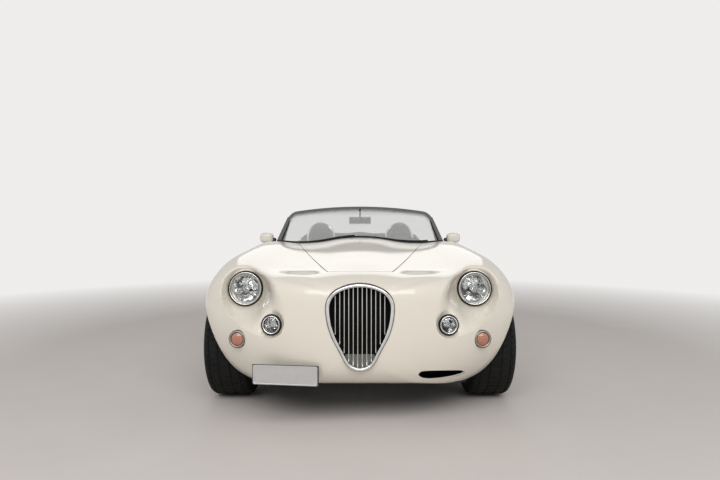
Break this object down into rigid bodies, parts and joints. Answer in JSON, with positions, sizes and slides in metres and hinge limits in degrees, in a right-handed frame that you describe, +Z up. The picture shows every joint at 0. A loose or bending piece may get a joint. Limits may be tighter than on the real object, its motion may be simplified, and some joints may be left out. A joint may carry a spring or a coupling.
{
  "type": "roadster convertible car",
  "caption": "Open two-seat roadster with a long bonnet, egg-shaped barred grille, round lamps in scooped wings, raked windscreen, opening doors, bonnet and boot, and steered wheels.",
  "frame": {"origin": "on the ground under the middle of the car's overall box", "axes": "+Z up, the car faces -Y, and its left side is at +X"},
  "size_m": [1.729, 3.8621, 1.166],
  "materials": {
    "body_paint": "smooth ivory clear-coated paint",
    "carpet": "short dark pile carpet",
    "dark_leather": "anthracite leather with fine grain",
    "black_plastic": "grained black plastic",
    "frame_black": "satin black paint",
    "screen_glass": "clear laminated glass with a tinted top band",
    "roof_cloth": "black woven hood cloth",
    "bright_chrome": "polished chrome",
    "lamp_glass": "clear moulded lens",
    "amber_lens": "amber prismatic lens",
    "red_lens": "red prismatic lens",
    "clear_lens": "clear prismatic lens",
    "plate_silver": "blank satin silver plate",
    "exhaust_steel": "stainless steel, polished at the tail pipes",
    "engine_alloy": "cast alloy",
    "chassis_black": "black chassis coating",
    "cast_alloy": "bare cast alloy",
    "tyre_rubber": "black rubber",
    "wheel_alloy": "silver lacquered alloy"
  },
  "bodies": {
    "root": {"body_front": "body_paint", "body_rear": "body_paint", "sills": "body_paint", "floor_pan": "carpet", "dashboard": "dark_leather", "seat_left": "dark_leather", "seat_right": "dark_leather", "steering_column": "black_plastic", "levers": "dark_leather", "windscreen_frame": "frame_black", "windscreen_glass": "screen_glass", "interior_mirror": "black_plastic", "roll_hoops": "dark_leather", "folded_roof": "roof_cloth", "headlamps": "bright_chrome", "headlamp_lenses": "lamp_glass", "driving_lamps": "bright_chrome", "driving_lamp_lenses": "lamp_glass", "indicators": "amber_lens", "tail_lamps": "red_lens", "reverse_lamps": "clear_lens", "plates": "plate_silver", "grille_frame": "bright_chrome", "grille_bars": "bright_chrome", "exhaust": "exhaust_steel", "engine": "engine_alloy", "front_suspension": "chassis_black", "rear_axle": "chassis_black"},
    "wheel_front_left": {"tyre_front_left": "tyre_rubber", "rim_front_left": "wheel_alloy"},
    "wheel_front_right": {"tyre_front_right": "tyre_rubber", "rim_front_right": "wheel_alloy"},
    "wheel_rear_left": {"tyre_rear_left": "tyre_rubber", "rim_rear_left": "wheel_alloy"},
    "wheel_rear_right": {"tyre_rear_right": "tyre_rubber", "rim_rear_right": "wheel_alloy"},
    "knuckle_left": {"knuckle_left": "cast_alloy"},
    "knuckle_right": {"knuckle_right": "cast_alloy"},
    "steering_wheel": {"steering_wheel": "dark_leather"},
    "bonnet": {"bonnet": "body_paint"},
    "boot_lid": {"boot_lid": "body_paint"},
    "door_left": {"door_left": "body_paint", "mirror_left": "body_paint"},
    "door_right": {"door_right": "body_paint", "mirror_right": "body_paint"}
  },
  "joints": [
    {"name": "steer_left", "type": "hinge", "parent": "root", "child": "knuckle_left", "pos_m": [0.69, -1.23, 0.32], "axis": [0, 0, 1], "range_deg": [-30, 30]},
    {"name": "steer_right", "type": "hinge", "parent": "root", "child": "knuckle_right", "pos_m": [-0.69, -1.23, 0.32], "axis": [0, 0, 1], "range_deg": [-30, 30]},
    {"name": "steering_wheel_turn", "type": "hinge", "parent": "root", "child": "steering_wheel", "pos_m": [0.372, -0.078, 0.742], "axis": [0, 0.9135, 0.4067], "range_deg": [-450, 450]},
    {"name": "wheel_front_left_spin", "type": "hinge", "parent": "knuckle_left", "child": "wheel_front_left", "pos_m": [0.733, -1.23, 0.32], "axis": [1, 0, 0], "continuous": true},
    {"name": "wheel_front_right_spin", "type": "hinge", "parent": "knuckle_right", "child": "wheel_front_right", "pos_m": [-0.733, -1.23, 0.32], "axis": [1, 0, 0], "continuous": true},
    {"name": "wheel_rear_left_spin", "type": "hinge", "parent": "root", "child": "wheel_rear_left", "pos_m": [0.73, 1.132, 0.32], "axis": [1, 0, 0], "continuous": true},
    {"name": "wheel_rear_right_spin", "type": "hinge", "parent": "root", "child": "wheel_rear_right", "pos_m": [-0.73, 1.132, 0.32], "axis": [1, 0, 0], "continuous": true},
    {"name": "door_left_swing", "type": "hinge", "parent": "root", "child": "door_left", "pos_m": [0.768, -0.218, 0.5], "axis": [0, 0, -1], "range_deg": [0, 60]},
    {"name": "door_right_swing", "type": "hinge", "parent": "root", "child": "door_right", "pos_m": [-0.768, -0.218, 0.5], "axis": [0, 0, 1], "range_deg": [0, 60]},
    {"name": "bonnet_lift", "type": "hinge", "parent": "root", "child": "bonnet", "pos_m": [0, -1.745, 0.74723], "axis": [1, 0, 0], "range_deg": [0, 55]},
    {"name": "boot_lid_lift", "type": "hinge", "parent": "root", "child": "boot_lid", "pos_m": [0, 1, 0.85872], "axis": [1, 0, 0], "range_deg": [0, 60]}
  ],
  "couplings": [
    {"joint": "steer_right", "follows": "steer_left", "ratio": 1},
    {"joint": "steering_wheel_turn", "follows": "steer_left", "ratio": 15}
  ]
}
